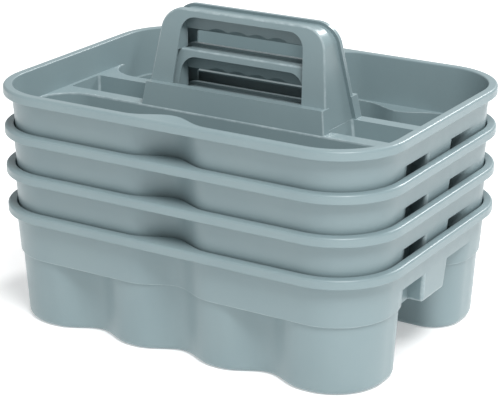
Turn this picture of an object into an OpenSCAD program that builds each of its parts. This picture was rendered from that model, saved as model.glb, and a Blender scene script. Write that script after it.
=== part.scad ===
// Four nested cleaning caddies. Each caddy is one injection moulding: a lipped tub with a front
// and a back bin, a tunnel between them that is open below, a deck over the tunnel with a pocket
// at each end, and a hollow handle that rises from the deck. The caddies taper, so each one
// drops into the one below it and lifts straight out again.
// Origin: middle of the stack's footprint, on the surface that it stands on. +X is along the
// long side, +Y to the back, +Z up. All shapes are drawn with the caddy's own rim top at z = 0.

/* [Tub] */
// Length of the tub over its lip
tub_length = 400; // [330:1:480]
// Width of the tub over its lip
tub_width = 294; // [290:1:360]
// Height from the floor's underside to the rim top
tub_height = 112; // [95:1:136]
// Radius of the lip at the four corners
rim_radius = 64; // [48:1:72]
// Thickness of the walls
wall = 1.8; // [1.5:0.05:1.9]
// How much the upper band narrows for each millimetre of depth
band_draft = 0.075; // [0.070:0.001:0.085]
// How much the lower wall narrows for each millimetre of depth
wall_draft = 0.060; // [0.058:0.001:0.066]

/* [Lip] */
// How far the lip overhangs the wall at the rim
lip_overhang = 6.8; // [5:0.1:9]
// Height of the lip's skirt
lip_height = 8.5; // [6:0.5:12]

/* [Step and lobes] */
// Depth of the step ledge below the rim top
step_depth = 47; // [42:1:56]
// Width of the step ledge
step_ledge = 2; // [1:0.1:3]
// Spacing of the bottle lobes along the long sides
lobe_pitch = 89; // [74:1:90]
// Depth of the hollows between the lobes
lobe_depth = 14; // [8:0.5:16]

/* [Deck and tunnel] */
// Depth of the deck's top below the rim top
deck_depth = 27; // [24:1:32]
// Half of the tunnel's width, just under the deck
tunnel_half = 34.2; // [32:0.1:40]
// Radius of the bins' corners beside the tunnel
tunnel_radius = 38; // [24:1:40]

/* [End pockets] */
// Half of the pocket's width inside, at the deck
pocket_half = 22; // [14:0.5:23]
// Depth of the pocket's underside below the rim top
pocket_depth = 57; // [48:1:60]
// Distance from the pocket's open end to the tub's end, at the deck
pocket_end_ledge = 4; // [2:0.5:8]
// Distance from the end wall to the cross rib under the deck
rib_setback = 13; // [10:1:20]
// How much the pocket's sides lean in for each millimetre of depth
pocket_draft = 0.09; // [0.03:0.01:0.1]
// How much the pocket's inner end leans towards the tub's end for each millimetre of depth
pocket_lean = 0.18; // [0.18:0.01:0.3]

/* [Handle] */
// Height of the handle's top above the rim top
handle_top = 62; // [54:1:72]
// Half of the handle's length at its foot
handle_half = 92; // [88:0.5:98]
// Half of the handle's depth at its foot
handle_depth_half = 25.6; // [24:0.1:27]
// Depth of the shoulder below the rim top
shoulder_depth = 6; // [2:0.5:10]
// Half of the shoulder block's depth along its top edge
shoulder_half = 32.2; // [30:0.1:33]
// How much the handle's front and back lean in for each millimetre of height
lean_front = 0.176; // [0.16:0.002:0.19]
// How much the handle's ends lean in for each millimetre of height
lean_end = 0.137; // [0.12:0.001:0.15]
// Radius of the handle's upper corners
handle_radius = 22; // [16:1:26]
// Width of the raised borders on the handle's ends and top
border_width = 5.5; // [4:0.1:7]
// Depth of the channel between the borders, which runs down into the end pockets
border_height = 2.8; // [1:0.1:3]

/* [Hand opening] */
// Height of the front opening's top above the rim top
window_top = 55.5; // [50:0.5:64]
// Half of the front opening's length near its top
window_half = 64; // [56:0.5:68]
// Radius of the front opening's upper corners
window_radius = 15; // [8:1:20]
// Height of the back opening's top above the rim top
back_window_top = 35; // [30:0.5:40]
// Half of the back opening's length
back_window_half = 68; // [60:0.5:70]
// Radius of the back opening's upper corners
back_window_radius = 3; // [1:0.5:8]
// Height of the grip rib's lower edge above the rim top
grip_edge = 42.3; // [38:0.1:46]
// Distance between the finger hollows in the grip rib
finger_pitch = 20.8; // [16:0.1:24]
// Depth of each finger hollow
finger_depth = 2.8; // [1:0.1:5]
// Distance from the handle's middle to the grip rib
rib_offset = 4; // [2:0.5:6]

/* [Stack] */
// Height that each further caddy adds to the stack
stack_pitch = 37; // [36:1:40]
// Gap left where one caddy rests on the next
rest_gap = 0.05; // [0.02:0.01:0.2]

/* [Hidden] */

over = 1;                       // how far a cut runs past the face that it opens
ledge_drop = 0.5;               // slope of the step ledge
long_steps = 26;                // facets along a long side
corner_steps = 6;               // facets round a corner
finger_count = 4;

corner_x = tub_length / 2 - rim_radius;      // centres of the tub's corners
corner_y = tub_width / 2 - rim_radius;
step_inset = lip_overhang + band_draft * step_depth;
deck_inset = lip_overhang + band_draft * deck_depth;
deck_under = deck_depth + wall;
floor_round = 6;                // radius round the foot of the bins
lip_round = 2.5;                // radius of the lip's outer edge
lip_wall = 1.8;
arc_mid = 0.3;                  // inset halfway round a rounded edge, as a share of its radius
hollow_power = 1.3;             // above 1 makes the hollows narrower than a cosine wave

shoulder_end = 0.8;             // width of the shoulder at the handle's ends
block_rim = 0.4;                // strip of deck left between the block and the bin's edge
block_top_x = handle_half + shoulder_end;
block_foot_y = tunnel_half + wall - block_rim;
block_foot_x = block_top_x + block_foot_y - shoulder_half;
channel_ledge = 0.3;            // deck left between the channel and the pocket
pocket_start = handle_half - border_height + lean_end * (deck_depth - shoulder_depth) + channel_ledge;
pocket_foot = pocket_start + pocket_lean * (pocket_depth - deck_depth);
handle_span = handle_top + shoulder_depth;
grip_half_y = handle_depth_half - lean_front * handle_span;
handle_top_half = handle_half - lean_end * handle_span;
split_y = tunnel_half - 0.2;    // the bins' nodes end here and the deck's node starts
reach = 300;                    // larger than the caddy, for cutting boxes
channel_cut = 6;                // how far the channel's cutter reaches past the handle's ends
window_flare = 5;               // how much wider the hand opening gets down to the shoulder
rest_x = window_half + 1;       // inner face of each rest plate
rest_past = max(0, rest_x - (handle_top_half - handle_radius));
rest_drop = handle_radius - sqrt(pow(handle_radius, 2) - pow(rest_past, 2));

// Inset of the outer face from the lip's edge, at a depth below the rim top
function inset_at(d) = d < step_depth
    ? lip_overhang + band_draft * d
    : step_inset + step_ledge + wall_draft * (d - step_depth);

// Smooth inward hollow: one at the middle of the long side, or one between each pair of lobes
function hollow_at(x, lobed) = abs(x) > lobe_pitch * (lobed ? 1.5 : 0.5)
    ? 0 : lobe_depth * pow((1 + cos(360 * x / lobe_pitch)) / 2, hollow_power);

function arc_points(cx, cy, r, from, to) =
    [for (i = [0:corner_steps]) let (a = from + (to - from) * i / corner_steps)
        [cx + r * cos(a), cy + r * sin(a)]];

function long_side(y, lobed) =
    [for (i = [1:long_steps - 1]) let (x = corner_x * (2 * i / long_steps - 1))
        [x, y + hollow_at(x, lobed)]];

// Outline of the whole tub, set in from the lip's edge, at height z
function tub_ring(inset, z, waved = true) = let (
    hy = tub_width / 2 - inset,
    r = rim_radius - inset,
    front = waved ? long_side(-hy, false) : [],
    half = concat(arc_points(-corner_x, -corner_y, r, 180, 270), front,
        arc_points(corner_x, -corner_y, r, 270, 360)))
    concat([for (p = half) [p.x, p.y, z]], [for (p = half) [-p.x, -p.y, z]]);

// Outline of the front bin: its long side follows the tub, its other side lines the tunnel
function bin_ring(inset, z, lobed) = let (
    hx = tub_length / 2 - inset,
    tunnel_y = tunnel_half + inset - deck_inset,
    tunnel_r = tunnel_radius - inset + deck_inset,
    tunnel_x = hx - tunnel_r)
    [for (p = concat(
        arc_points(-corner_x, -corner_y, rim_radius - inset, 180, 270),
        long_side(inset - tub_width / 2, lobed),
        arc_points(corner_x, -corner_y, rim_radius - inset, 270, 360),
        arc_points(tunnel_x, -tunnel_y - tunnel_r, tunnel_r, 0, 90),
        arc_points(-tunnel_x, -tunnel_y - tunnel_r, tunnel_r, 90, 180))) [p.x, p.y, z]];

// Closed skin through a stack of outlines, highest first, that all have the same point count
module loft(rings) {
    n = len(rings[0]);
    last = len(rings) - 1;
    polyhedron(
        points = [for (ring = rings) each ring],
        faces = concat(
            [[for (i = [n - 1:-1:0]) i], [for (i = [0:n - 1]) last * n + i]],
            [for (j = [0:last - 1], i = [0:n - 1]) let (k = (i + 1) % n)
                [j * n + i, j * n + k, (j + 1) * n + k]],
            [for (j = [0:last - 1], i = [0:n - 1]) let (k = (i + 1) % n)
                [j * n + i, (j + 1) * n + k, (j + 1) * n + i]]));
}

function box_ring(x0, x1, half_y, z) =
    [[x0, -half_y, z], [x1, -half_y, z], [x1, half_y, z], [x0, half_y, z]];

// Box with sloping sides: half sizes at its foot and at its top
module taper_box(foot_x, foot_y, foot_z, top_x, top_y, top_z) {
    loft([box_ring(-top_x, top_x, top_y, top_z), box_ring(-foot_x, foot_x, foot_y, foot_z)]);
}

module mirrored(axis) {
    children();
    mirror(axis) children();
}

// Lip with its hanging skirt, and the upper band down to the deck's underside
module lip_and_band() {
    difference() {
        loft([tub_ring(lip_round, 0, false), tub_ring(lip_round * arc_mid, -lip_round * arc_mid, false),
            tub_ring(0, -lip_round, false), tub_ring(0, -lip_height, false)]);
        loft([tub_ring(lip_wall, -lip_round, false), tub_ring(lip_wall, -lip_height - over, false)]);
    }
    loft([tub_ring(inset_at(over), -over), tub_ring(inset_at(deck_under), -deck_under)]);
}

// Outer or inner shape of the front bin, from a depth down to its floor
module bin_shape(skin, top, bottom) {
    step = step_depth - skin;
    foot = inset_at(bottom) + skin;
    loft([
        bin_ring(inset_at(top) + skin, -top, false),
        bin_ring(lip_overhang + band_draft * step + skin, -step, false),
        bin_ring(inset_at(step_depth) + skin, -step - ledge_drop, true),
        bin_ring(inset_at(bottom - floor_round) + skin, floor_round - bottom, true),
        bin_ring(foot + floor_round * arc_mid, floor_round * arc_mid - bottom, true),
        bin_ring(foot + floor_round, -bottom, true)]);
}

// End pocket: an open-topped box under the deck, its outer face flush with the end wall
module pocket_box() {
    side = pocket_half + wall;
    start = pocket_start - wall;
    loft([
        box_ring(start + pocket_lean * wall, tub_length / 2 - inset_at(deck_under),
            side - pocket_draft * wall, -deck_under),
        box_ring(pocket_foot - wall, tub_length / 2 - lip_overhang - band_draft * pocket_depth,
            side - pocket_draft * (pocket_depth - deck_depth), -pocket_depth)]);
}

module pocket_cut() {
    opening = tub_length / 2 - deck_inset - wall - pocket_end_ledge;
    drop = pocket_depth - wall - deck_depth;
    loft([
        box_ring(pocket_start - pocket_lean * over, opening + band_draft * over,
            pocket_half + pocket_draft * over, over - deck_depth),
        box_ring(pocket_start + pocket_lean * drop, opening - band_draft * drop,
            pocket_half - pocket_draft * drop, wall - pocket_depth)]);
}

// Cross rib that stiffens the deck between the pocket and each bin
module cross_rib() {
    rib_x = tub_length / 2 - inset_at(step_depth) - rib_setback;
    rib_y = tunnel_half + tunnel_radius / 2;
    translate([rib_x - wall, -rib_y, -pocket_depth])
        cube([wall, 2 * rib_y, pocket_depth - deck_depth - wall / 2]);
}

// Handle outline seen from the front, set in from its edge
module front_outline(inset, foot) {
    top = handle_top - inset;
    top_half = handle_top_half - inset;
    foot_half = handle_half - lean_end * (foot + shoulder_depth) - inset;
    r = handle_radius - inset;
    hull() {
        mirrored([1, 0, 0]) translate([top_half - r, top - r]) circle(r, $fn = 32);
        polygon([[-foot_half, foot], [foot_half, foot], [0, foot + over]]);
    }
}

module from_front(depth) {
    rotate([90, 0, 0]) linear_extrude(depth, center = true) children();
}

// Handle's solid: its outline seen from the front, and a wedge that gives it its depth
module handle_solid(inset_front, inset_side, foot = -shoulder_depth - wall / 2) {
    foot_y = handle_depth_half - lean_front * (foot + shoulder_depth) - inset_front;
    intersection() {
        from_front(2 * reach) front_outline(inset_side, foot);
        taper_box(reach, foot_y, foot, reach, grip_half_y - inset_front - lean_front * over,
            handle_top + over);
    }
}

// Opening in the front or back panel, down to the shoulder
module window_outline(top, half, r) {
    foot_half = half + window_flare;
    hull() {
        mirrored([1, 0, 0]) translate([half - r, top - r]) circle(r, $fn = 32);
        polygon([[-foot_half, -shoulder_depth], [foot_half, -shoulder_depth], [0, over]]);
    }
}

// Rib under the grip, with hollows for four fingers along its lower edge
module grip_rib() {
    finger_r = (pow(finger_pitch / 2, 2) + pow(finger_depth, 2)) / (2 * finger_depth);
    intersection() {
        handle_solid(wall / 2, border_height + wall / 2);
        difference() {
            translate([-reach, -rib_offset - wall / 2, grip_edge]) cube([2 * reach, wall, reach]);
            for (i = [0:finger_count - 1])
                translate([(i - (finger_count - 1) / 2) * finger_pitch, 0,
                    grip_edge + finger_depth - finger_r])
                    rotate([90, 0, 0]) cylinder(r = finger_r, h = reach, center = true, $fn = 64);
        }
    }
}

// Upright plates from the front panel to the grip rib, one on each side of the hand opening;
// their lower ends rest on the next handle down
module rest_plates() {
    foot = handle_top - stack_pitch + rest_gap - rest_drop;
    intersection() {
        handle_solid(wall / 2, border_height + wall / 2);
        mirrored([1, 0, 0]) translate([rest_x, -reach, foot])
            cube([wall, reach - rib_offset + wall / 2, reach]);
    }
}

module shoulder_block(inset, foot, top) {
    lean = (block_foot_y - shoulder_half) / (deck_under - shoulder_depth);
    foot_out = lean * (-foot - deck_under) - inset;
    top_out = lean * (-top - shoulder_depth) - inset;
    taper_box(block_foot_x + foot_out, block_foot_y + foot_out, foot,
        block_top_x + top_out, shoulder_half + top_out, top);
}

// Channel between the borders, over the top of the handle and down both ends
module channel(inset_front, depth) {
    foot = -deck_under - 2 * over;
    difference() {
        handle_solid(inset_front, -channel_cut, foot);
        from_front(2 * reach) front_outline(depth, foot - over);
    }
}

// Space inside the shoulder block, up to a height, with the channel's skin left in it
module block_space(top) {
    difference() {
        shoulder_block(wall, -deck_under - over, top);
        channel(border_width - wall, border_height + wall);
    }
}

module handle_shape() {
    difference() {
        union() {
            shoulder_block(0, -deck_under, -shoulder_depth);
            handle_solid(0, 0);
        }
        channel(border_width, border_height);
        block_space(-shoulder_depth - wall);
        handle_solid(wall, border_height + wall, -shoulder_depth - wall - over);
        translate([0, -reach / 2 - rib_offset - wall / 2, 0]) from_front(reach)
            window_outline(window_top, window_half, window_radius);
        translate([0, reach / 2 + rib_offset, 0]) from_front(reach)
            window_outline(back_window_top, back_window_half, back_window_radius);
    }
    grip_rib();
    rest_plates();
}

// One whole moulding
module caddy() {
    difference() {
        union() {
            lip_and_band();
            mirrored([0, 1, 0]) bin_shape(0, deck_under, tub_height);
            mirrored([1, 0, 0]) pocket_box();
            mirrored([1, 0, 0]) cross_rib();
        }
        loft([tub_ring(inset_at(0) + wall, over),
            tub_ring(inset_at(deck_depth) + wall, -deck_depth)]);
        mirrored([0, 1, 0]) bin_shape(wall, deck_depth, tub_height - wall);
        mirrored([1, 0, 0]) pocket_cut();
        block_space(over - deck_depth);
    }
    handle_shape();
}

// The caddy's number k in the stack sits at its own height
module placed(k) {
    translate([0, 0, tub_height + (k - 1) * stack_pitch]) children();
}

// Space of the handle's node: over the deck, round the shoulder block
module handle_zone() {
    translate([-block_foot_x - over / 2, -block_foot_y - over / 2, -deck_depth])
        cube([2 * block_foot_x + over, 2 * block_foot_y + over, reach]);
}

module bin_zone() {
    translate([-reach, -reach - split_y, -reach]) cube([2 * reach, reach, 2 * reach]);
}

module front_bin(k) {
    color("#8fa0a6") placed(k) difference() {
        intersection() {
            caddy();
            bin_zone();
        }
        handle_zone();
    }
}

module back_bin(k) {
    color("#8fa0a6") placed(k) difference() {
        intersection() {
            caddy();
            mirror([0, 1, 0]) bin_zone();
        }
        handle_zone();
    }
}

module deck(k) {
    color("#879aa0") placed(k) difference() {
        caddy();
        mirrored([0, 1, 0]) bin_zone();
        handle_zone();
    }
}

module handle(k) {
    color("#94a5ab") placed(k) intersection() {
        caddy();
        handle_zone();
    }
}

for (k = [1:4]) {
    front_bin(k);
    back_bin(k);
    deck(k);
    handle(k);
}
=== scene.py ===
import bmesh
import bpy
import math
from mathutils import Matrix, Vector


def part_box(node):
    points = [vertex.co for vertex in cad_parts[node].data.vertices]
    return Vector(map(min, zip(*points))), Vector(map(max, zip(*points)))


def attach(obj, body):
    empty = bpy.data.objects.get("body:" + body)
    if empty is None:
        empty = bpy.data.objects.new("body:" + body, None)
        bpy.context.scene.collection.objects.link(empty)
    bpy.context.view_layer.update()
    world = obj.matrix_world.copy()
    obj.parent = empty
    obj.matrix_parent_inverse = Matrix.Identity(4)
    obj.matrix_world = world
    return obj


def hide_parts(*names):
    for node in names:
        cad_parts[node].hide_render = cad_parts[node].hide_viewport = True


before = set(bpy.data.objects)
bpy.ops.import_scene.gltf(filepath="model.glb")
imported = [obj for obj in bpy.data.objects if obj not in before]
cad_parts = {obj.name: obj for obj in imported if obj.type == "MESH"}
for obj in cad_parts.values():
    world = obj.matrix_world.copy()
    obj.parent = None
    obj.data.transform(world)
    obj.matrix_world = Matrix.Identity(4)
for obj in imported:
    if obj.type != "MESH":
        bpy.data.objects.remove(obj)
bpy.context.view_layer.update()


# ---- Moulded plastic -------------------------------------------------------------------
# Each caddy is one shot of polypropylene, coloured grey-green in the mass. The tool leaves a
# fine satin grain, the colour clouds a little where the melt flowed together, and handling
# polishes and lightens the edges; that lighter strip along the edges is also a painted highlight.
PLASTIC_COLOUR = (0.222, 0.298, 0.318, 1)
CLOUDY_COLOUR = (0.234, 0.310, 0.328, 1)
# Lighter colour for the edge strips: handling wear, and also a painted highlight along the edges.
WORN_AND_HIGHLIT_COLOUR = (0.36, 0.44, 0.46, 1)
GRAIN_PER_METRE = 1900
CLOUDS_PER_METRE = 14
SCUFFS_PER_METRE = 85
SMOOTHEST, ROUGHEST = 0.30, 0.38
GRAIN_STRENGTH = 0.16
GRAIN_HEIGHT = 0.0002


def moulded_plastic():
    material = bpy.data.materials.new("satin polypropylene")
    material.use_nodes = True
    nodes = material.node_tree.nodes
    links = material.node_tree.links
    shader = nodes["Principled BSDF"]
    shader.inputs["Specular IOR Level"].default_value = 0.45
    shader.inputs["IOR"].default_value = 1.49
    place = nodes.new("ShaderNodeTexCoord").outputs["Object"]

    def noise(per_metre, detail, roughness):
        texture = nodes.new("ShaderNodeTexNoise")
        texture.inputs["Scale"].default_value = per_metre
        texture.inputs["Detail"].default_value = detail
        texture.inputs["Roughness"].default_value = roughness
        links.new(place, texture.inputs["Vector"])
        return texture.outputs["Fac"]

    def spread(value, low, high, to_low, to_high):
        map_range = nodes.new("ShaderNodeMapRange")
        limits = {"From Min": low, "From Max": high, "To Min": to_low, "To Max": to_high}
        for name, limit in limits.items():
            map_range.inputs[name].default_value = limit
        links.new(value, map_range.inputs["Value"])
        return map_range.outputs["Result"]

    def mix(amount, first, second):
        blend = nodes.new("ShaderNodeMix")
        blend.data_type = "RGBA"
        links.new(amount, blend.inputs["Factor"])
        for socket, colour in ((blend.inputs["A"], first), (blend.inputs["B"], second)):
            if isinstance(colour, tuple):
                socket.default_value = colour
            else:
                links.new(colour, socket)
        return blend.outputs["Result"]

    def multiply(first, second):
        product = nodes.new("ShaderNodeMath")
        product.operation = "MULTIPLY"
        links.new(first, product.inputs[0])
        links.new(second, product.inputs[1])
        return product.outputs["Value"]

    clouds = spread(noise(CLOUDS_PER_METRE, 4, 0.55), 0.35, 0.65, 0, 1)
    scuffs = spread(noise(SCUFFS_PER_METRE, 6, 0.7), 0.42, 0.62, 0.25, 1)
    grain = noise(GRAIN_PER_METRE, 2, 0.5)
    # Narrow rounded edge strips are lightened: partly handling wear, partly a painted highlight.
    edge = nodes.new("ShaderNodeAttribute")
    edge.attribute_name = "rubbed_edge"
    wear_and_highlight = multiply(edge.outputs["Fac"], scuffs)
    body = mix(clouds, PLASTIC_COLOUR, CLOUDY_COLOUR)
    links.new(mix(wear_and_highlight, body, WORN_AND_HIGHLIT_COLOUR), shader.inputs["Base Color"])
    links.new(spread(scuffs, 0, 1, SMOOTHEST, ROUGHEST), shader.inputs["Roughness"])
    bump = nodes.new("ShaderNodeBump")
    bump.inputs["Strength"].default_value = GRAIN_STRENGTH
    bump.inputs["Distance"].default_value = GRAIN_HEIGHT
    links.new(grain, bump.inputs["Height"])
    links.new(bump.outputs["Normal"], shader.inputs["Normal"])
    return material


PLASTIC = moulded_plastic()


# ---- Lip and upper band ----------------------------------------------------------------
# The rim of each tub is a rolled lip with a short hanging skirt, and under it the upper band of
# the wall. The band is pressed in once at the middle of each long side, while the lip's outer
# edge stays straight. All shapes are made with the caddy's own rim top at height 0.
MM = 0.001
LOW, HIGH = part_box("front_bin_1")
TUB_LENGTH = HIGH[0] - LOW[0]
TUB_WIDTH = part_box("back_bin_1")[1][1] - LOW[1]
TUB_HEIGHT = HIGH[2] - LOW[2]
RIM_RADIUS = 64 * MM
WALL = 1.8 * MM
BAND_DRAFT = 0.075
LIP_OVERHANG = 6.8 * MM
LIP_HEIGHT = 8.5 * MM
LIP_ROUND = 2.5 * MM
INNER_ROUND = 1.3 * MM
DECK_DEPTH = 27 * MM
DECK_UNDER = DECK_DEPTH + WALL
HOLLOW_SPACING = 89 * MM
HOLLOW_DEPTH = 14 * MM
HOLLOW_SHARPNESS = 1.3
CORNER_X = TUB_LENGTH / 2 - RIM_RADIUS
CORNER_Y = TUB_WIDTH / 2 - RIM_RADIUS
TUNNEL_HALF = 34.2 * MM
TUNNEL_RADIUS = 38 * MM
CORNER_STEPS = 20
LONG_STEPS = 96


def arc(centre_x, centre_y, radius, start, end, steps=CORNER_STEPS):
    angles = [math.radians(start + (end - start) * i / steps) for i in range(steps + 1)]
    return [(centre_x + radius * math.cos(a), centre_y + radius * math.sin(a)) for a in angles]


def long_side(y, first_x):
    steps = range(1, LONG_STEPS)
    return [(first_x * (1 - 2 * i / LONG_STEPS), y) for i in steps]


def wire(name, points, closed, **attributes):
    """An object of joined edges, with one number per point for each attribute."""
    mesh = bpy.data.meshes.new(name)
    count = len(points)
    edges = [(i, (i + 1) % count) for i in range(count if closed else count - 1)]
    mesh.from_pydata([(p[0], p[1], 0) for p in points], edges, [])
    for attribute, values in attributes.items():
        mesh.attributes.new(attribute, "FLOAT", "POINT").data.foreach_set("value", values)
    wire_object = bpy.data.objects.new(name, mesh)
    bpy.context.scene.collection.objects.link(wire_object)
    return wire_object


def swept_skin_tree():
    """Sweeps a wall's section round a plan outline, then presses in its hollows."""
    tree = bpy.data.node_groups.new("Swept skin", "GeometryNodeTree")
    tree.interface.new_socket("Skin", in_out="OUTPUT", socket_type="NodeSocketGeometry")
    sockets = {"Outline": "Object", "Section": "Object", "Hollow spacing": "Float",
               "Hollow depth": "Float", "Hollow sharpness": "Float", "Plastic": "Material"}
    for name, kind in sockets.items():
        tree.interface.new_socket(name, in_out="INPUT", socket_type="NodeSocket" + kind)
    nodes, links = tree.nodes, tree.links
    given = nodes.new("NodeGroupInput").outputs

    def curve_of(name):
        info = nodes.new("GeometryNodeObjectInfo")
        links.new(given[name], info.inputs["Object"])
        curve = nodes.new("GeometryNodeMeshToCurve")
        links.new(info.outputs["Geometry"], curve.inputs["Mesh"])
        return curve.outputs["Curve"]

    def math_node(operation, *values):
        node = nodes.new("ShaderNodeMath")
        node.operation = operation
        for socket, value in zip(node.inputs, values):
            if isinstance(value, (int, float)):
                socket.default_value = value
            else:
                links.new(value, socket)
        return node.outputs["Value"]

    def number_at_point(name):
        node = nodes.new("GeometryNodeInputNamedAttribute")
        node.inputs["Name"].default_value = name
        return node.outputs["Attribute"]

    upright = nodes.new("GeometryNodeSetCurveNormal")
    upright.mode = "Z_UP"
    links.new(curve_of("Outline"), upright.inputs["Curve"])
    sweep = nodes.new("GeometryNodeCurveToMesh")
    links.new(upright.outputs["Curve"], sweep.inputs["Curve"])
    links.new(curve_of("Section"), sweep.inputs["Profile Curve"])

    split = nodes.new("ShaderNodeSeparateXYZ")
    links.new(nodes.new("GeometryNodeInputPosition").outputs["Position"], split.inputs["Vector"])
    x = split.outputs["X"]
    turns = math_node("DIVIDE", x, given["Hollow spacing"])
    wave = math_node("COSINE", math_node("MULTIPLY", turns, 2 * math.pi))
    swell = math_node("DIVIDE", math_node("ADD", wave, 1), 2)
    shape = math_node("POWER", swell, given["Hollow sharpness"])
    half_count = math_node("DIVIDE", number_at_point("hollow_count"), 2)
    inside = math_node("LESS_THAN", math_node("ABSOLUTE", turns), half_count)
    push = math_node("MULTIPLY", math_node("MULTIPLY", shape, inside), given["Hollow depth"])
    combine = nodes.new("ShaderNodeCombineXYZ")
    links.new(math_node("MULTIPLY", push, number_at_point("inward_y")), combine.inputs["Y"])
    press = nodes.new("GeometryNodeSetPosition")
    links.new(sweep.outputs["Mesh"], press.inputs["Geometry"])
    links.new(combine.outputs["Vector"], press.inputs["Offset"])

    real = nodes.new("GeometryNodeRealizeInstances")
    links.new(press.outputs["Geometry"], real.inputs["Geometry"])
    coloured = nodes.new("GeometryNodeSetMaterial")
    links.new(real.outputs["Geometry"], coloured.inputs["Geometry"])
    links.new(given["Plastic"], coloured.inputs["Material"])
    links.new(coloured.outputs["Geometry"], nodes.new("NodeGroupOutput").inputs["Skin"])
    return tree


def made_by(tree, name, settings):
    """Runs a geometry tree with these named inputs and gives back a plain mesh object."""
    holder = bpy.data.objects.new(name, bpy.data.meshes.new(name + " holder"))
    bpy.context.scene.collection.objects.link(holder)
    modifier = holder.modifiers.new(tree.name, "NODES")
    modifier.node_group = tree
    for item in tree.interface.items_tree:
        if item.in_out == "INPUT":
            modifier[item.identifier] = settings[item.name]
    return finished(holder)


def finished(holder):
    """Turns an object's modifiers into plain mesh."""
    evaluated = holder.evaluated_get(bpy.context.evaluated_depsgraph_get())
    mesh = bpy.data.meshes.new_from_object(evaluated)
    holder.modifiers.clear()
    holder.data = mesh
    return holder


def swept_skin(name, outline, section):
    return made_by(SKIN_TREE, name, {
        "Outline": outline, "Section": section, "Hollow spacing": HOLLOW_SPACING,
        "Hollow depth": HOLLOW_DEPTH, "Hollow sharpness": HOLLOW_SHARPNESS, "Plastic": PLASTIC})


def section_wire(name, section, outline_inset, closed):
    """A section drawn to sweep round an outline that is itself set in from the lip's edge."""
    points = [(outline_inset - inset, -height) for inset, height, _ in section]
    return wire(name, points, closed, hollow_count=[count for _, _, count in section])


def rounded_corner(inset, height, radius, start, end, steps=5):
    return arc(inset, height, radius, start, end, steps)


def lip_section():
    """Closed section, as (distance in from the lip's edge, height, number of hollows)."""
    inner = LIP_OVERHANG + WALL
    bead = WALL / 2
    outer_lip = rounded_corner(LIP_ROUND, -LIP_ROUND, LIP_ROUND, 180, 90, 7)
    inner_lip = rounded_corner(inner - INNER_ROUND, -INNER_ROUND, INNER_ROUND, 90, 0)
    under_lip = rounded_corner(LIP_OVERHANG - INNER_ROUND, -WALL - INNER_ROUND, INNER_ROUND, 0, 90)
    under_edge = rounded_corner(WALL + INNER_ROUND, -WALL - INNER_ROUND, INNER_ROUND, 90, 180)
    skirt_foot = rounded_corner(bead, bead - LIP_HEIGHT, bead, 360, 180, 6)
    steps = [DECK_UNDER * part for part in (0.25, 0.5, 0.75, 1)]
    wall_inside = [(inner + BAND_DRAFT * d, -d) for d in steps]
    wall_outside = [(LIP_OVERHANG + BAND_DRAFT * d, -d) for d in reversed(steps)]
    straight, pressed = 0, 1
    return ([(*p, straight) for p in outer_lip] + [(*p, pressed) for p in inner_lip]
            + [(*p, pressed) for p in wall_inside + wall_outside + under_lip]
            + [(*p, straight) for p in under_edge + skirt_foot])


def tub_outline():
    """Plan of the lip's outer edge, anticlockwise, and which way is inward at each point."""
    end_y = TUNNEL_HALF + TUNNEL_RADIUS
    back = (arc(CORNER_X, CORNER_Y, RIM_RADIUS, 0, 90) + long_side(TUB_WIDTH / 2, CORNER_X)
            + arc(-CORNER_X, CORNER_Y, RIM_RADIUS, 90, 180))
    front = [(-x, -y) for x, y in back]
    left_end = [(-TUB_LENGTH / 2, end_y), (-TUB_LENGTH / 2, -end_y)]
    right_end = [(TUB_LENGTH / 2, -end_y), (TUB_LENGTH / 2, end_y)]
    points = back + left_end + front + right_end
    inward = [-1.0 if y > CORNER_Y else 1.0 if y < -CORNER_Y else 0.0 for x, y in points]
    return points, inward


SKIN_TREE = swept_skin_tree()
points, inward = tub_outline()
section = lip_section()
lip_and_band = swept_skin(
    "lip and band", wire("tub outline", points, True, inward_y=inward),
    section_wire("lip section", section, 0, True))


# ---- Front and back bins ---------------------------------------------------------------
# Two bins hang under the upper band, one on each side of the tunnel. Below a small step ledge
# their outer sides are pressed in between four bottle lobes, and a fillet runs round the floor.
# They are part of the same moulding and meet the band just under the deck.
STEP_DEPTH = 47 * MM
STEP_LEDGE = 2 * MM
STEP_ROUND = 0.8 * MM
ARC_MID = 0.3
WALL_DRAFT = 0.060
FLOOR_ROUND = 6 * MM
DECK_INSET = LIP_OVERHANG + BAND_DRAFT * DECK_DEPTH
BIN_END_X = TUB_LENGTH / 2 - DECK_INSET
TUNNEL_CORNER_X = BIN_END_X - TUNNEL_RADIUS
TUNNEL_CORNER_Y = TUNNEL_HALF + TUNNEL_RADIUS


def wall_inset(depth):
    """Distance from the lip's edge in to the wall's outer face."""
    if depth < STEP_DEPTH:
        return LIP_OVERHANG + BAND_DRAFT * depth
    return LIP_OVERHANG + BAND_DRAFT * STEP_DEPTH + STEP_LEDGE + WALL_DRAFT * (depth - STEP_DEPTH)


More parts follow.
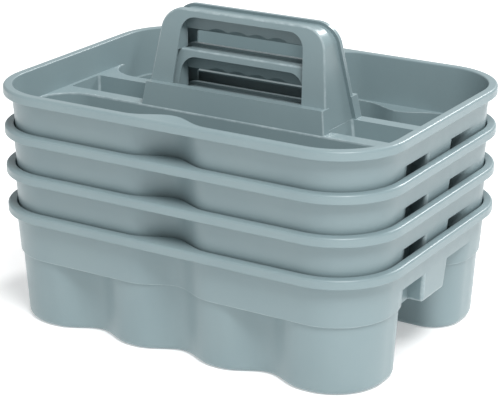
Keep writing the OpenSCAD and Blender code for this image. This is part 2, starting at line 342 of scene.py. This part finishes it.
def bin_side(skin, bottom):
    """One face of the bin's wall from the band down to the floor.

    Skin is 0 for the outer face and the wall for the inner one.
    """
    step = STEP_DEPTH - skin
    band_foot = LIP_OVERHANG + BAND_DRAFT * step + skin
    ledge_end = band_foot + STEP_LEDGE
    one, three = 1, 3
    upper = [(wall_inset(DECK_UNDER) + skin, -DECK_UNDER, one)]
    upper += [(LIP_OVERHANG + BAND_DRAFT * d + skin, -d, one) for d in (0.75 * step, step - STEP_ROUND)]
    ledge = [(band_foot + ARC_MID * STEP_ROUND, -step + ARC_MID * STEP_ROUND, one),
             (band_foot + STEP_ROUND, -step, one),
             (ledge_end - ARC_MID * STEP_ROUND, -step, three),
             (ledge_end, -step - ARC_MID * STEP_ROUND, three),
             (ledge_end + 0.05 * STEP_ROUND, -step - STEP_ROUND, three)]
    depths = [step + (bottom - FLOOR_ROUND - step) * part for part in (0.2, 0.4, 0.6, 0.8, 1)]
    lower = [(wall_inset(max(d, STEP_DEPTH)) + skin, -d, three) for d in depths]
    last_inset = lower[-1][0]
    fillet = rounded_corner(last_inset + FLOOR_ROUND, FLOOR_ROUND - bottom, FLOOR_ROUND, 180, 270, 8)
    return upper + ledge + lower + [(*p, three) for p in fillet[1:]]


def bin_outline():
    """Plan of the back bin at deck height, anticlockwise."""
    radius = RIM_RADIUS - DECK_INSET
    outer = (arc(CORNER_X, CORNER_Y, radius, 0, 90)
             + long_side(TUB_WIDTH / 2 - DECK_INSET, CORNER_X)
             + arc(-CORNER_X, CORNER_Y, radius, 90, 180))
    tunnel_side = (arc(-TUNNEL_CORNER_X, TUNNEL_CORNER_Y, TUNNEL_RADIUS, 180, 270)
                   + arc(TUNNEL_CORNER_X, TUNNEL_CORNER_Y, TUNNEL_RADIUS, 270, 360))
    return outer + tunnel_side, [-1.0] * len(outer) + [0.0] * len(tunnel_side)


def close_floors(cup):
    """Fills the open ring in the floor's underside and the one in its top."""
    shell = bmesh.new()
    shell.from_mesh(cup.data)
    open_edges = [edge for edge in shell.edges if edge.is_boundary]
    bmesh.ops.holes_fill(shell, edges=open_edges, sides=0)
    bmesh.ops.recalc_face_normals(shell, faces=shell.faces)
    shell.to_mesh(cup.data)
    shell.free()


points, inward = bin_outline()
section = list(reversed(bin_side(0, TUB_HEIGHT))) + bin_side(WALL, TUB_HEIGHT - WALL)
back_bin = swept_skin(
    "back bin", wire("bin outline", points, True, inward_y=inward),
    section_wire("bin section", section, DECK_INSET, False))
close_floors(back_bin)
front_bin = bpy.data.objects.new("front bin", back_bin.data.copy())
bpy.context.scene.collection.objects.link(front_bin)
front_bin.data.transform(Matrix.Rotation(math.pi, 4, "Z"))


# ---- Deck, end pockets and cross ribs --------------------------------------------------
# A flat deck bridges the bins over the tunnel. At each end it drops into a small open pocket,
# whose outer face is flush with the end wall, and a rib under the deck ties pocket and bins
# together.
DECK_EDGE_ROUND = 1.2 * MM
SHOULDER_DEPTH = 6 * MM
SHOULDER_HALF = 32.2 * MM
HANDLE_HALF = 92 * MM
SHOULDER_END = 0.8 * MM
BLOCK_RIM = 0.4 * MM
BLOCK_TOP_X = HANDLE_HALF + SHOULDER_END
BLOCK_FOOT_Y = TUNNEL_HALF + WALL - BLOCK_RIM
LEAN_END = 0.137
CHANNEL_DEPTH = 2.8 * MM
CHANNEL_CUT = 6 * MM
CHANNEL_LEDGE = 0.3 * MM
POCKET_START = (HANDLE_HALF - CHANNEL_DEPTH + LEAN_END * (DECK_DEPTH - SHOULDER_DEPTH)
                + CHANNEL_LEDGE)
POCKET_LEAN = 0.18
POCKET_HALF = 22 * MM
POCKET_DEPTH = 57 * MM
POCKET_DRAFT = 0.09
POCKET_ROUND = 3 * MM
POCKET_END_LEDGE = 4 * MM
RIB_SETBACK = 13 * MM
RIB_X = TUB_LENGTH / 2 - wall_inset(STEP_DEPTH) - RIB_SETBACK


def loft(name, rings):
    """Closed skin through rings of points, all with the same count, highest ring first."""
    mesh = bpy.data.meshes.new(name)
    count = len(rings[0])
    faces = [list(range(count)), list(range((len(rings) - 1) * count, len(rings) * count))]
    for level in range(len(rings) - 1):
        for i in range(count):
            after = (i + 1) % count
            upper, lower = level * count, (level + 1) * count
            faces.append([upper + i, upper + after, lower + after, lower + i])
    mesh.from_pydata([point for ring in rings for point in ring], [], faces)
    shell = bmesh.new()
    shell.from_mesh(mesh)
    bmesh.ops.recalc_face_normals(shell, faces=shell.faces)
    shell.to_mesh(mesh)
    shell.free()
    part = bpy.data.objects.new(name, mesh)
    bpy.context.scene.collection.objects.link(part)
    return part


def change(part, operation, tool):
    """Joins a tool to a part, or cuts it away."""
    step = part.modifiers.new(operation, "BOOLEAN")
    step.operation = operation
    step.solver = "MANIFOLD"
    step.object = tool
    finished(part)
    bpy.data.objects.remove(tool)


def flipped(part, axis):
    """A mirror image of a part across the middle of the caddy."""
    twin = bpy.data.objects.new(part.name, part.data.copy())
    bpy.context.scene.collection.objects.link(twin)
    twin.data.transform(Matrix.Scale(-1, 4, axis))
    twin.data.flip_normals()
    return twin


def deck_ring(inset, z):
    radius = TUNNEL_RADIUS - WALL + inset
    half = TUNNEL_HALF + WALL - inset
    end_x = BIN_END_X - WALL / 2
    last = math.degrees(math.acos(min(1, (end_x - TUNNEL_CORNER_X) / radius)))
    corner = arc(TUNNEL_CORNER_X, -TUNNEL_CORNER_Y, radius, 90, last)
    corner.append((end_x, corner[-1][1]))
    quarter = corner + [(x, -y) for x, y in reversed(corner)]
    return [(x, y, z) for x, y in quarter + [(-x, -y) for x, y in quarter]]


def rounded_box_ring(x0, x1, half_y, radius, z):
    corners = ((x1 - radius, half_y - radius, 0), (x0 + radius, half_y - radius, 90),
               (x0 + radius, radius - half_y, 180), (x1 - radius, radius - half_y, 270))
    return [(x, y, z) for cx, cy, start in corners
            for x, y in arc(cx, cy, radius, start, start + 90, 6)]


def pocket_rings(start_at, end_at, half_at, top, bottom, radius):
    """Rings of a pocket box that narrows with depth, with a fillet round its floor."""
    rings = [rounded_box_ring(start_at(top), end_at(top), half_at(top), radius, -top)]
    for i in range(7):
        turn = math.radians(15 * i)
        set_in = radius * (1 - math.cos(turn))
        depth = bottom - radius * (1 - math.sin(turn))
        rings.append(rounded_box_ring(
            start_at(depth) + set_in, end_at(depth) - set_in, half_at(depth) - set_in,
            max(radius - set_in, 0.02 * radius), -depth))
    return rings


def end_wall_x(depth):
    return TUB_LENGTH / 2 - LIP_OVERHANG - BAND_DRAFT * depth


def pocket_inside_start(depth):
    return POCKET_START + POCKET_LEAN * (depth - DECK_DEPTH)


def pocket_outside_start(depth):
    return pocket_inside_start(depth) - WALL


def pocket_inside_x(depth):
    return end_wall_x(depth) - WALL - POCKET_END_LEDGE


def pocket_inside_half(depth):
    return POCKET_HALF - POCKET_DRAFT * (depth - DECK_DEPTH)


def pocket_outside_half(depth):
    return pocket_inside_half(depth) + WALL


def bin_edge_y(depth):
    """Middle of the bin's wall beside a cross rib."""
    radius = TUNNEL_RADIUS - (wall_inset(depth) + WALL / 2 - DECK_INSET)
    return TUNNEL_CORNER_Y - math.sqrt(radius ** 2 - (RIB_X - TUNNEL_CORNER_X) ** 2)


def rib_ring(depth):
    half = bin_edge_y(depth)
    return [(x, y, -depth) for x, y in
            ((RIB_X - WALL, -half), (RIB_X, -half), (RIB_X, half), (RIB_X - WALL, half))]


round_steps = [math.radians(a) for a in (0, 22.5, 45, 67.5, 90)]
deck = loft("deck", [deck_ring(DECK_EDGE_ROUND * (1 - math.sin(a)),
                               -DECK_DEPTH - DECK_EDGE_ROUND * (1 - math.cos(a)))
                     for a in round_steps]
            + [deck_ring(-BAND_DRAFT * WALL, -DECK_UNDER)])
pocket = loft("pocket", pocket_rings(
    pocket_outside_start, end_wall_x, pocket_outside_half, DECK_UNDER, POCKET_DEPTH, POCKET_ROUND))
pocket_space = loft("pocket space", pocket_rings(
    pocket_inside_start, pocket_inside_x, pocket_inside_half, DECK_DEPTH - MM, POCKET_DEPTH - WALL,
    POCKET_ROUND - WALL / 2))
cross_rib = loft("cross rib", [rib_ring(d) for d in (
    DECK_DEPTH + WALL / 2, STEP_DEPTH - MM / 2, STEP_DEPTH + MM / 2, POCKET_DEPTH - MM)])


# ---- Shoulder block and handle ---------------------------------------------------------
# A low block stands on the deck and carries the handle: a hollow A-shaped hoop, open below, with
# a front opening for the hand and a lower back opening. A channel runs over its top and down
# both ends into the pockets, and a rib with four finger hollows hangs under the grip.
HANDLE_TOP = 62 * MM
HANDLE_DEPTH_HALF = 25.6 * MM
LEAN_FRONT = 0.176
HANDLE_RADIUS = 22 * MM
BORDER_WIDTH = 5.5 * MM
WINDOW_TOP = 55.5 * MM
WINDOW_HALF = 64 * MM
WINDOW_RADIUS = 15 * MM
WINDOW_FLARE = 5 * MM
BACK_WINDOW_TOP = 35 * MM
BACK_WINDOW_HALF = 68 * MM
BACK_WINDOW_RADIUS = 3 * MM
GRIP_EDGE = 42.3 * MM
FINGER_PITCH = 20.8 * MM
FINGER_DEPTH = 2.8 * MM
FINGER_COUNT = 4
RIB_OFFSET = 4 * MM
PLATE_X = WINDOW_HALF + MM
RIM_TOPS = [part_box(f"front_bin_{number}")[1][2] for number in (1, 2, 3, 4)]
REST_DROP = 0.3 * MM
PLATE_FOOT = HANDLE_TOP - (RIM_TOPS[1] - RIM_TOPS[0]) - REST_DROP
EDGE_ROUND = 0.55 * MM
CRISP_ANGLE = 32
OUTLINE_ROUND = 1.5 * MM
OUTLINE_ANGLE = 60


def half_depth(z):
    """Half of the handle's depth, front to back, at a height."""
    return HANDLE_DEPTH_HALF - LEAN_FRONT * (z + SHOULDER_DEPTH)


def hoop_outline(inset, foot):
    """Handle seen from the front: leaning ends, round upper corners."""
    top = HANDLE_TOP - inset
    foot_half = HANDLE_HALF - LEAN_END * (foot + SHOULDER_DEPTH) - inset
    top_half = HANDLE_HALF - LEAN_END * (HANDLE_TOP + SHOULDER_DEPTH) - inset
    radius = HANDLE_RADIUS - inset
    lean = math.degrees(math.atan(LEAN_END))
    centre_x = top_half + LEAN_END * radius - radius / math.cos(math.radians(lean))
    corner = arc(centre_x, top - radius, radius, lean, 90, 16)
    right = [(foot_half, foot)] + corner
    return right + [(-x, z) for x, z in reversed(right)]


def window_outline(top, half, radius, foot):
    """Hand opening: round upper corners, sides that spread a little towards the shoulder."""
    lean = math.degrees(math.atan(WINDOW_FLARE / (top + SHOULDER_DEPTH)))
    corner = arc(half - radius, top - radius, radius, lean, 90, 14)
    spread = math.tan(math.radians(lean)) * (corner[0][1] - foot)
    right = [(corner[0][0] + spread, foot)] + corner
    return right + [(-x, z) for x, z in reversed(right)]


def slab(name, outline, front_at, back_at):
    """Outline in x and z, between a front and a back face whose y may change with height."""
    return loft(name, [[(x, front_at(z), z) for x, z in outline],
                       [(x, back_at(z), z) for x, z in outline]])


def block(name, set_in, foot_depth, top_depth, radius):
    lean = (BLOCK_FOOT_Y - SHOULDER_HALF) / (DECK_UNDER - SHOULDER_DEPTH)
    rings = []
    for depth in (top_depth, foot_depth):
        out = lean * (depth - SHOULDER_DEPTH) - set_in
        half_x = BLOCK_TOP_X + out
        rings.append(rounded_box_ring(-half_x, half_x, SHOULDER_HALF + out, radius, -depth))
    return loft(name, rings)


def hoop(name, inset_front, inset_side, foot):
    return slab(name, hoop_outline(inset_side, foot),
                lambda z: inset_front - half_depth(z), lambda z: half_depth(z) - inset_front)


def finger_tree():
    """A row of round bars that cut the finger hollows."""
    tree = bpy.data.node_groups.new("Finger hollows", "GeometryNodeTree")
    tree.interface.new_socket("Bars", in_out="OUTPUT", socket_type="NodeSocketGeometry")
    sockets = {"Count": "Int", "First bar": "Vector", "Pitch": "Vector", "Radius": "Float",
               "Length": "Float", "Plastic": "Material"}
    for name, kind in sockets.items():
        tree.interface.new_socket(name, in_out="INPUT", socket_type="NodeSocket" + kind)
    nodes, links = tree.nodes, tree.links
    given = nodes.new("NodeGroupInput").outputs
    row = nodes.new("GeometryNodeMeshLine")
    bar = nodes.new("GeometryNodeMeshCylinder")
    bar.inputs["Vertices"].default_value = 96
    spread = nodes.new("GeometryNodeInstanceOnPoints")
    spread.inputs["Rotation"].default_value = (math.pi / 2, 0, 0)
    real = nodes.new("GeometryNodeRealizeInstances")
    coloured = nodes.new("GeometryNodeSetMaterial")
    for source, target in (
            (given["Count"], row.inputs["Count"]),
            (given["First bar"], row.inputs["Start Location"]),
            (given["Pitch"], row.inputs["Offset"]),
            (given["Radius"], bar.inputs["Radius"]),
            (given["Length"], bar.inputs["Depth"]),
            (row.outputs["Mesh"], spread.inputs["Points"]),
            (bar.outputs["Mesh"], spread.inputs["Instance"]),
            (spread.outputs["Instances"], real.inputs["Geometry"]),
            (real.outputs["Geometry"], coloured.inputs["Geometry"]),
            (given["Plastic"], coloured.inputs["Material"]),
            (coloured.outputs["Geometry"], nodes.new("NodeGroupOutput").inputs["Bars"])):
        links.new(source, target)
    return tree


def grip_rib():
    hoop_inside = hoop_outline(CHANNEL_DEPTH + WALL / 2, GRIP_EDGE)
    rib_outline = [(x, max(z, GRIP_EDGE)) for x, z in hoop_inside]
    rib = slab("grip rib", rib_outline,
               lambda z: -RIB_OFFSET - WALL / 2, lambda z: WALL / 2 - RIB_OFFSET)
    radius = ((FINGER_PITCH / 2) ** 2 + FINGER_DEPTH ** 2) / (2 * FINGER_DEPTH)
    first = (-(FINGER_COUNT - 1) / 2 * FINGER_PITCH, -RIB_OFFSET, GRIP_EDGE + FINGER_DEPTH - radius)
    change(rib, "DIFFERENCE", made_by(finger_tree(), "finger hollows", {
        "Count": FINGER_COUNT, "First bar": first, "Pitch": (FINGER_PITCH, 0, 0),
        "Radius": radius, "Length": 8 * WALL, "Plastic": PLASTIC}))
    return rib


def rest_plate():
    """Upright plate beside the hand opening, which stops on the next handle down."""
    corners = [(PLATE_X, PLATE_FOOT), (PLATE_X + WALL, PLATE_FOOT),
               (PLATE_X + WALL, HANDLE_TOP - CHANNEL_DEPTH - WALL / 2),
               (PLATE_X, HANDLE_TOP - CHANNEL_DEPTH - WALL / 2)]
    return slab("rest plate", corners,
                lambda z: WALL / 2 - half_depth(z), lambda z: WALL / 2 - RIB_OFFSET)


def channel(name, set_in, depth):
    """Cutter for the channel between the borders, over the top and down both ends."""
    foot = -DECK_UNDER - MM
    ring = hoop(name, set_in, -CHANNEL_CUT, foot)
    change(ring, "DIFFERENCE", hoop("channel core", -CHANNEL_CUT, depth, foot - MM))
    return ring


def block_space(name, top_depth):
    """Space inside the shoulder block, which leaves the channel's skin standing."""
    space = block(name, WALL, DECK_UNDER + MM, top_depth, WALL)
    change(space, "DIFFERENCE", channel("channel skin", BORDER_WIDTH - WALL, CHANNEL_DEPTH + WALL))
    return space


def soften_outline(part):
    """Rounds the long outer edges of the handle's front and back faces."""
    shell = bmesh.new()
    shell.from_mesh(part.data)
    foot = min(vert.co.z for vert in shell.verts)
    outline = [edge for edge in shell.edges
               if edge.calc_face_angle() > math.radians(OUTLINE_ANGLE)
               and max(vert.co.z for vert in edge.verts) > foot + MM]
    bmesh.ops.bevel(shell, geom=outline, offset=OUTLINE_ROUND, offset_type="OFFSET", segments=4,
                    profile=0.5, affect="EDGES", clamp_overlap=True)
    shell.to_mesh(part.data)
    shell.free()


def handle():
    shape = hoop("handle", 0, 0, -SHOULDER_DEPTH - WALL / 2)
    soften_outline(shape)
    change(shape, "UNION", block("shoulder block", 0, DECK_DEPTH + WALL / 2, SHOULDER_DEPTH, 1.2 * MM))
    change(shape, "DIFFERENCE", channel("channel", BORDER_WIDTH, CHANNEL_DEPTH))
    change(shape, "DIFFERENCE", block_space("shoulder space", SHOULDER_DEPTH + WALL))
    change(shape, "DIFFERENCE", hoop(
        "handle space", WALL, CHANNEL_DEPTH + WALL, -SHOULDER_DEPTH - WALL - MM))
    opening_foot = -SHOULDER_DEPTH
    change(shape, "DIFFERENCE", slab(
        "front opening", window_outline(WINDOW_TOP, WINDOW_HALF, WINDOW_RADIUS, opening_foot),
        lambda z: -2 * HANDLE_DEPTH_HALF, lambda z: -RIB_OFFSET - WALL / 2))
    change(shape, "DIFFERENCE", slab(
        "back opening",
        window_outline(BACK_WINDOW_TOP, BACK_WINDOW_HALF, BACK_WINDOW_RADIUS, opening_foot),
        lambda z: RIB_OFFSET, lambda z: 2 * HANDLE_DEPTH_HALF))
    change(shape, "UNION", grip_rib())
    plate = rest_plate()
    change(shape, "UNION", flipped(plate, (1, 0, 0)))
    change(shape, "UNION", plate)
    return shape


middle = deck
change(middle, "DIFFERENCE", block_space("deck opening", DECK_DEPTH - MM))
for part, operation in ((pocket, "UNION"), (cross_rib, "UNION"), (pocket_space, "DIFFERENCE")):
    change(middle, operation, flipped(part, (1, 0, 0)))
    change(middle, operation, part)
change(middle, "UNION", handle())


def round_edges(part):
    """Small rounds on every crisp edge of the deck, pockets and handle."""
    shell = bmesh.new()
    shell.from_mesh(part.data)
    bmesh.ops.remove_doubles(shell, verts=shell.verts, dist=0.02 * MM)
    bmesh.ops.dissolve_limit(
        shell, angle_limit=math.radians(0.5), verts=shell.verts, edges=shell.edges)
    crisp = [edge for edge in shell.edges
             if edge.is_manifold and edge.calc_face_angle() > math.radians(CRISP_ANGLE)]
    bmesh.ops.bevel(shell, geom=crisp, offset=EDGE_ROUND, offset_type="OFFSET", segments=2,
                    profile=0.5, affect="EDGES", clamp_overlap=True)
    shell.to_mesh(part.data)
    shell.free()


round_edges(middle)


# ---- Stack of four caddies -------------------------------------------------------------
# Four identical mouldings are nested in each other. Each one rests on the handle of the one
# below and lifts straight out; nothing fastens them together.
STRIP_WIDTH = 0.9 * MM
STRIP_BEND = 11
SHARP_ANGLE = 38


def one_moulding(parts):
    """Joins the parts at their shared edges into the skin of one moulding."""
    shell = bmesh.new()
    for part in parts:
        shell.from_mesh(part.data)
        bpy.data.objects.remove(part)
    bmesh.ops.remove_doubles(shell, verts=shell.verts, dist=0.01 * MM)
    hidden = [face for face in shell.faces if all(len(edge.link_faces) > 2 for edge in face.edges)]
    bmesh.ops.delete(shell, geom=hidden, context="FACES_ONLY")
    mesh = bpy.data.meshes.new("caddy")
    note_worn_and_highlit_edges(shell)
    for face in shell.faces:
        face.smooth = True
        face.material_index = 0
    shell.to_mesh(mesh)
    shell.free()
    mesh.materials.clear()
    mesh.materials.append(PLASTIC)
    mesh.set_sharp_from_angle(angle=math.radians(SHARP_ANGLE))
    return mesh


def note_worn_and_highlit_edges(shell):
    """Marks the narrow rounded strips along outward edges, which handling rubs lighter and which also
    carry a painted highlight.
    """
    layer = shell.loops.layers.float.new("rubbed_edge")
    shell.normal_update()
    for face in shell.faces:
        longest = max(edge.calc_length() for edge in face.edges)
        bends = [edge.calc_face_angle_signed(0) for edge in face.edges if edge.is_manifold]
        narrow = face.calc_area() / longest < STRIP_WIDTH
        wear_and_highlight = 1.0 if narrow and max(bends, default=0) > math.radians(STRIP_BEND) else 0.0
        for loop in face.loops:
            loop[layer] = wear_and_highlight


moulding = one_moulding([lip_and_band, front_bin, back_bin, middle])
for number, rim_top in enumerate(RIM_TOPS, 1):
    caddy = bpy.data.objects.new(f"nested_caddy_{number}", moulding.copy())
    bpy.context.scene.collection.objects.link(caddy)
    caddy.data.transform(Matrix.Translation((0, 0, rim_top)))
    caddy.modifiers.new("even shading", "WEIGHTED_NORMAL").keep_sharp = True
    finished(caddy)
    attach(caddy, f"caddy_{number}")
    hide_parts(*[f"{region}_{number}" for region in ("front_bin", "back_bin", "deck", "handle")])

for helper in ("tub outline", "lip section", "bin outline", "bin section"):
    bpy.data.objects.remove(bpy.data.objects[helper])


# ---- Floor, light and camera -----------------------------------------------------------
# A plain white sheet on the table, soft daylight all round, a broad lamp above the right front
# and a smaller one above the back that draws the bright lines along the edges.
floor_mesh = bpy.data.meshes.new("floor")
floor_mesh.from_pydata([(-6, -6, 0), (6, -6, 0), (6, 6, 0), (-6, 6, 0)], [], [(0, 1, 2, 3)])
floor = bpy.data.objects.new("floor", floor_mesh)
bpy.context.scene.collection.objects.link(floor)
floor_material = bpy.data.materials.new("white sheet")
floor_material.use_nodes = True
sheet = floor_material.node_tree.nodes["Principled BSDF"]
sheet.inputs["Base Color"].default_value = (0.93, 0.93, 0.93, 1)
sheet.inputs["Roughness"].default_value = 0.9
sheet.inputs["Emission Color"].default_value = (1, 1, 1, 1)
sheet.inputs["Emission Strength"].default_value = 0.32
floor_mesh.materials.append(floor_material)

sky = bpy.data.worlds.new("soft daylight")
sky.use_nodes = True
sky.node_tree.nodes["Background"].inputs["Color"].default_value = (1, 1, 1, 1)
sky.node_tree.nodes["Background"].inputs["Strength"].default_value = 0.5
bpy.context.scene.world = sky


def lamp(name, place, size, power):
    light = bpy.data.lights.new(name, "AREA")
    light.shape = "DISK"
    light.size = size
    light.energy = power
    holder = bpy.data.objects.new(name, light)
    holder.location = place
    aim = Vector((0, 0, 0.15)) - holder.location
    holder.rotation_euler = aim.to_track_quat("-Z", "Y").to_euler()
    bpy.context.scene.collection.objects.link(holder)


lamp("edge lamp", (0.5, 2.5, 2.0), 0.5, 50)
lamp("top lamp", (1.0, -0.9, 2.1), 1.0, 46)

camera_data = bpy.data.cameras.new("camera")
camera_data.lens = 130.1
camera_data.sensor_width = 36
camera = bpy.data.objects.new("camera", camera_data)
camera.location = (0.82028, -1.34191, RIM_TOPS[-1] + 0.44887)
camera.rotation_euler = (math.radians(70.3), 0, math.radians(31.45))
bpy.context.scene.collection.objects.link(camera)
bpy.context.scene.camera = camera
bpy.context.scene.view_settings.view_transform = "Standard"
